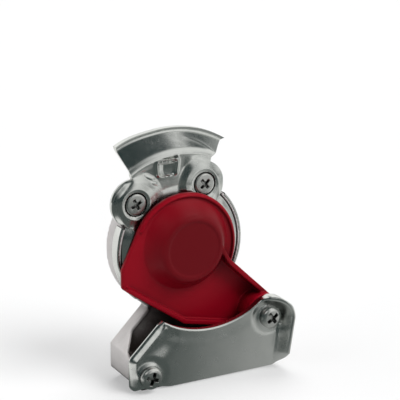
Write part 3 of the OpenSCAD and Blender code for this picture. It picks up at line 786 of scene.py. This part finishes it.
def edge_rows(outline, offsets):
    """Rows of points inside an outline, at the given distances from it."""
    tangent = np.roll(outline, -1, 0) - np.roll(outline, 1, 0)
    tangent /= np.linalg.norm(tangent, axis=1, keepdims=True)
    inward = np.stack((-tangent[:, 1], tangent[:, 0]), 1)
    rows = []
    for d in offsets:
        row = outline + d * inward
        rows.append(row[to_edge(row, outline) > ROW_KEEP * d])
    return rows


def inner_grid(outline, spacing):
    """Points of a triangular grid that lie inside an outline."""
    low, high = outline.min(0), outline.max(0)
    xs = np.arange(low[0], high[0], spacing)
    zs = np.arange(low[1], high[1], spacing * GRID_HEIGHT)
    grid = np.array([(x + (k % 2) * spacing / 2, z) for k, z in enumerate(zs) for x in xs])
    inside = np.zeros(len(grid), bool)
    for p, q in zip(outline, np.roll(outline, -1, 0)):
        crosses = (p[1] > grid[:, 1]) != (q[1] > grid[:, 1])
        with np.errstate(divide="ignore", invalid="ignore"):
            at = p[0] + (grid[:, 1] - p[1]) * (q[0] - p[0]) / (q[1] - p[1])
        inside ^= crosses & (grid[:, 0] < at)
    return grid[inside]


def filled(outline, offsets, spacing):
    """Triangles inside an outline, with rows of points along its edge."""
    grid = inner_grid(outline, spacing)
    grid = grid[to_edge(grid, outline) > offsets[-1] + GRID_GAP * spacing]
    flat = np.concatenate([outline, *edge_rows(outline, offsets), grid])
    n = len(outline)
    rim = [(i, (i + 1) % n) for i in range(n)]
    verts, _, faces, *_ = delaunay_2d_cdt([Vector(p) for p in flat], rim, [], 1, TINY)
    return np.array([tuple(v) for v in verts]), [list(f) for f in faces]


def bracket_front(x, z, edge, side):
    """Depth of the bracket's front. edge and side are the distances from its outline and its raised end."""
    angle = np.degrees(np.arctan2(z - NOTCH[1], x - NOTCH[0]))
    along = step(angle, *BAND_FROM) * fade(angle, *BAND_TO)
    depth = BRACKET_FRONT + BAND * fade(near(x, z, NOTCH) - NOTCH_R, *BAND_W) * along
    for place in (PIVOT, BRACKET_SCREW):
        d = near(x, z, place)
        depth += BOSS * step(d, *BOSS_INNER) * fade(d, *BOSS_OUTER)
    wall = step(x, *WALL_SPAN) * np.clip((z - BRACKET_FOOT) / WALL_TAPER, 0, 1)
    depth -= WALL * wall * fade(side, *WALL_BEND)
    depth += BENT * step(z - BENT_SLOPE * (x - BENT_X), *BENT_SPAN) * fade(x, *BENT_END)
    depth += SIDE_ROLL * fade(x, *SIDE_SPAN) * np.clip(1 - edge / SIDE_ROLL_W, 0, 1) ** SIDE_POWER
    return depth + FRONT_ROLL * np.clip(1 - edge / EDGE_W, 0, 1) ** 2


def guide_bracket():
    outline = bracket_outline()
    flat, faces = filled(outline, BRACKET_ROWS, BRACKET_GRID)
    edge = to_edge(flat, outline)
    x, z = flat.T
    end = [(END_FOOT, BRACKET_FOOT), (BRACKET_RIGHT, BRACKET_FOOT + CHAMFER), *arc(PIVOT, END_R, *END_ARC)]
    front = bracket_front(x, z, edge, to_edge(flat, np.array(end), closed=False))
    follows = (near(x, z, NOTCH) - NOTCH_R < BAND_W[1]) | (x < BACK_LEFT)
    back = BRACKET_BACK + np.clip(front - BRACKET_FRONT, 0, BACK_FOLLOWS) * follows
    back -= BACK_ROLL * np.clip(1 - edge / EDGE_W, 0, 1) ** 2
    loop = list(range(len(outline)))
    sheet = solid_sheet(np.stack((x, front, z), 1), np.stack((x, back, z), 1), faces, [loop])
    new_piece("guide_sheet", *sheet, "zinc_sheet", "guide_bracket")


# Screws, as [radius, depth] from the head's middle to the shank

SHANK_R, PAN_TOP = 2.5, -20.3
FLAT_HEAD = [(0, -0.1), (3.9, 0.05), (4.35, 0.2), (4.55, 0.45), (SHANK_R, 2.6), (SHANK_R, 12.4)]
PAN_HEAD = [(0, 0), (3.2, 0.3), (4.0, 0.6), (4.5, 1.0), (4.8, 1.6), (4.8, 2.1), (SHANK_R, 2.1)]
AROUND, TOP_RINGS, SIDE_RINGS = 120, 26, 4

# Length, width and depth of the cross recess, and the slopes of its arms and middle
FLAT_CROSS, PAN_CROSS = (5.4, 1.15, 1.5), (6.0, 1.35, 1.9)
ARM_SIDE, ARM_END, CROSS_CORE = (-0.1, 0.15), 0.9, (0.5, 1.2)


def screw_path(section):
    """The section with more points on its first part, which holds the cross recess."""
    path = [np.array(section[0])]
    for a, b in zip(section, section[1:]):
        count = TOP_RINGS if len(path) == 1 else SIDE_RINGS
        path += [np.array(a) + (np.array(b) - np.array(a)) * t / count for t in range(1, count + 1)]
    return path


def screw(name, node, place, section, cross):
    """A turned screw with a cross recess."""
    path = screw_path(section)
    points = [(place[0], path[0][1] + cross(0.0, 0.0), place[1])]
    angles = np.radians(np.arange(AROUND) * 360 / AROUND)
    for k, (r, y) in enumerate(path[1:]):
        for a in angles:
            u, v = r * math.cos(a), r * math.sin(a)
            depth = y + (cross(u, v) if k < TOP_RINGS else 0)
            points.append((place[0] + u, depth, place[1] + v))
    rings = [[*ring, ring[0]] for ring in numbered(1, len(path) - 1, AROUND)]
    faces = [[0, a, b] for a, b in zip(rings[0], rings[0][1:])]
    for inner, outer in zip(rings, rings[1:]):
        faces += [[inner[i], outer[i], outer[i + 1], inner[i + 1]] for i in range(AROUND)]
    faces.append(rings[-1][:-1][::-1])
    new_piece(name, points, faces, "zinc_screw", node, sharp=50)


def cross_recess(turn, length, width, depth):
    """Depth of a tapered cross recess at a point of a screw head."""
    c, s = math.cos(math.radians(turn)), math.sin(math.radians(turn))

    def cut(u, v):
        u, v = abs(c * u + s * v), abs(c * v - s * u)
        arm = 0.0
        for a, b in ((u, v), (v, u)):
            side = fade(b, width / 2 + ARM_SIDE[0], width / 2 + ARM_SIDE[1])
            end = fade(a, length / 2 - ARM_END, length / 2)
            arm = max(arm, side * end)
        return depth * max(arm, fade(math.hypot(u, v), *CROSS_CORE))

    return cut


def flat_screw(name, node, place, turn):
    screw(name, node, place, FLAT_HEAD, cross_recess(turn, *FLAT_CROSS))


def pan_screw(name, node, place, turn, end):
    section = [(r, PAN_TOP + y) for r, y in PAN_HEAD]
    screw(name, node, place, [*section, (SHANK_R, end)], cross_recess(turn, *PAN_CROSS))


# Springs


def coil(name, node):
    """A spring, as the CAD node's mesh with its points welded and shaded smooth."""
    mesh = frame["nodes"][node].data.copy()
    welded = bmesh.new()
    welded.from_mesh(mesh)
    bmesh.ops.remove_doubles(welded, verts=welded.verts, dist=TINY)
    welded.to_mesh(mesh)
    welded.free()
    shade_smooth(mesh)
    obj = add_object(name, mesh)
    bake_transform(obj)
    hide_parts(node)


claw_plate()
skirt("skirt_left", *LEFT_SKIRT, HEAD_SKIRT, head_edge)
skirt("skirt_right", *RIGHT_SKIRT, HEAD_SKIRT, head_edge)
skirt("lobe_skirt_left", CLAW_TO + CLAW_GAP, LOBES_SKIRT[1], LOBE_SKIRT, plate_edge)
skirt("lobe_skirt_right", LOBES_SKIRT[0], CLAW_FROM - CLAW_GAP, LOBE_SKIRT, plate_edge)
guide_bracket()
flat_screw("left_claw_screw", "claw_screw_left", LEFT_SCREW, turn=28)
flat_screw("right_claw_screw", "claw_screw_right", RIGHT_SCREW, turn=40)
pan_screw("left_bracket_screw", "bracket_screw", BRACKET_SCREW, turn=70, end=-1.0)
pan_screw("right_bracket_screw", "pivot_screw", PIVOT, turn=35, end=13.5)
coil("cover_coil", "cover_spring")
coil("valve_coil", "valve_spring")
moulded("cover_moulding", "cover", "red_plastic", "cover", voxel=0.33, rounds=5, reshape=set_dome)
moulded("body_casting", "body", "cast_aluminium", "housing", voxel=0.52, rounds=3, reshape=tuck_ears)


# Studio, in metres

LENS, SENSOR, CLIP_START = 139.3, 36, 0.01
CAMERA_WAY, CAMERA_FAR = Vector((-0.4379, -0.8412, 0.3173)), 0.65
CAMERA_AIM = (0.0099, 0.0018, 0.0733)

# Lamps: name, direction, angle in degrees and strength
LAMPS = [
    ("key", (0.48, -0.50, 0.73), 40, 2.5),
    ("top", (0.30, 0.45, 0.84), 45, 1.7),
    ("front", (-0.376, -0.873, 0.32), 12, 0.3),
    ("fill", (-0.90, 0.30, 0.35), 60, 1.1),
]

# Floor as the camera sees it
FLOOR_R = 4.0
PAPER, PAPER_LIFT = (0.5, 0.5, 0.5), 0.345

# Floor as metal sees it, a painted reflection that glows: dim in front of the object, with pale parts where
# these spans of x and y say
DIM_FLOOR, PALE_FLOOR, FAR_FLOOR = (0.09, 0.105, 0.10), (0.90, 0.90, 0.88), (0.45, 0.47, 0.46)
PATCH_LEFT, PATCH_RIGHT, PATCH_FRONT = (-0.10, -0.08), (-0.052, -0.040), (-0.055, -0.04)
RIGHT_SPAN, RIGHT_SLANT, FAR_RIGHT = (-0.03, 0.12), 0.6, (0.19, 0.33)
AHEAD_FRONT, AHEAD_LEFT = (-0.48, -0.34), (-0.02, 0.08)
BEHIND_FLOOR = (0.02, 0.10)

# Surroundings as metal sees them: a dim room with soft panels, white behind the object
DIM_ROOM, PANEL_WHITE = (0.035, 0.05, 0.05), (1, 1, 0.98)
BEHIND_ROOM = (0.30, 0.60)

# Panels: direction, half angle and soft edge in degrees, and level
PANELS = [
    ((0.55, -0.55, 0.63), 26, 18, 0.85),
    ((0.95, 0.0, 0.25), 16, 14, 0.7),
    ((-0.46, -0.62, 0.63), 13, 6, 0.95),
    ((0.48, 0.14, 0.87), 4.5, 4, 0.95),
    ((0.37, -0.92, 0.10), 12, 7, 0.6),
]

# Light that the surroundings give, and the white that the camera sees
ROOM_LIGHT, ROOM_LEVEL, WHITE = (0.95, 0.97, 1), 0.14, (1, 1, 1)


def aim(obj, place, target):
    obj.location = place
    obj.rotation_euler = (Vector(target) - Vector(place)).to_track_quat("-Z", "Y").to_euler()


def camera():
    data = bpy.data.cameras.new("camera")
    data.lens = LENS
    data.sensor_width = SENSOR
    data.clip_start = CLIP_START
    obj = add_object("camera", data)
    aim(obj, SEAL + CAMERA_FAR * CAMERA_WAY, CAMERA_AIM)
    bpy.context.scene.camera = obj


def lamp(name, towards, angle, strength):
    """A distant soft lamp in the given direction from the object."""
    data = bpy.data.lights.new(name, "SUN")
    data.angle = math.radians(angle)
    data.energy = strength
    obj = add_object(name, data)
    obj.visible_glossy = False
    aim(obj, towards, (0, 0, 0))


def mirrored_floor(n):
    """The floor's colour as metal sees it, a painted reflection that glows for glossy rays."""
    x, y, _ = n.split()
    left = n.times(n.falling(x, PATCH_RIGHT), n.rising(x, PATCH_LEFT))
    left = n.times(left, n.rising(y, PATCH_FRONT))
    right = n.rising(n.math("MULTIPLY_ADD", y, RIGHT_SLANT, x), RIGHT_SPAN)
    lit = n.most(n.most(left, right), n.rising(y, BEHIND_FLOOR))
    pale = n.mix(n.rising(x, FAR_RIGHT), PALE_FLOOR, FAR_FLOOR)
    ahead = n.times(n.falling(y, AHEAD_FRONT), n.rising(x, AHEAD_LEFT))
    return n.mix(ahead, n.mix(lit, DIM_FLOOR, pale), PALE_FLOOR)


def floor_finish():
    n = new_material("floor")
    path = n.add("ShaderNodeLightPath").outputs
    paper = n.fed("ShaderNodeBsdfDiffuse", {"Color": PAPER}).outputs[0]
    lift = n.glow("ShaderNodeEmission", WHITE, n.times(path["Is Camera Ray"], PAPER_LIFT))
    seen = n.fed("ShaderNodeAddShader", {0: paper, 1: lift}).outputs[0]
    # The floor glows with the painted reflection for glossy rays only
    mirrored = n.glow("ShaderNodeEmission", mirrored_floor(n))
    surface = n.choose(path["Is Glossy Ray"], seen, mirrored)
    n.join(surface, n.tree.nodes["Material Output"].inputs["Surface"])
    return n.owner


def floor():
    mesh = bpy.data.meshes.new("floor")
    r = FLOOR_R
    mesh.from_pydata([(-r, -r, 0), (r, -r, 0), (r, r, 0), (-r, r, 0)], [], [(0, 1, 2, 3)])
    mesh.materials.append(floor_finish())
    obj = add_object("floor", mesh)


def panel(n, direction, half, soft, level):
    """A soft round panel in the given direction."""
    dot = n.add("ShaderNodeVectorMath", operation="DOT_PRODUCT")
    dot.inputs[1].default_value = Vector(direction).normalized()
    n.join(n.place, dot.inputs[0])
    outer, inner = math.radians(half + soft), math.radians(max(half - soft, 0))
    return n.spread(dot.outputs["Value"], 0, level, math.cos(outer), math.cos(inner), "SMOOTHSTEP")


def world():
    n = Nodes(bpy.data.worlds.new("studio"), "Generated")
    path = n.add("ShaderNodeLightPath").outputs
    panels = panel(n, *PANELS[0])
    for values in PANELS[1:]:
        panels = n.math("ADD", panels, panel(n, *values))
    lit = n.most(panels, n.rising(n.split()["Y"], BEHIND_ROOM))
    mirrored = n.glow("ShaderNodeBackground", n.mix(lit, DIM_ROOM, PANEL_WHITE, clamp=False))
    room = n.glow("ShaderNodeBackground", ROOM_LIGHT, ROOM_LEVEL)
    seen = n.glow("ShaderNodeBackground", WHITE)
    unseen = n.choose(path["Is Glossy Ray"], room, mirrored)
    surface = n.choose(path["Is Camera Ray"], unseen, seen)
    n.join(surface, n.tree.nodes["World Output"].inputs["Surface"])
    bpy.context.scene.world = n.owner


bpy.context.scene.view_settings.view_transform = "Standard"
camera()
for values in LAMPS:
    lamp(*values)
floor()
world()
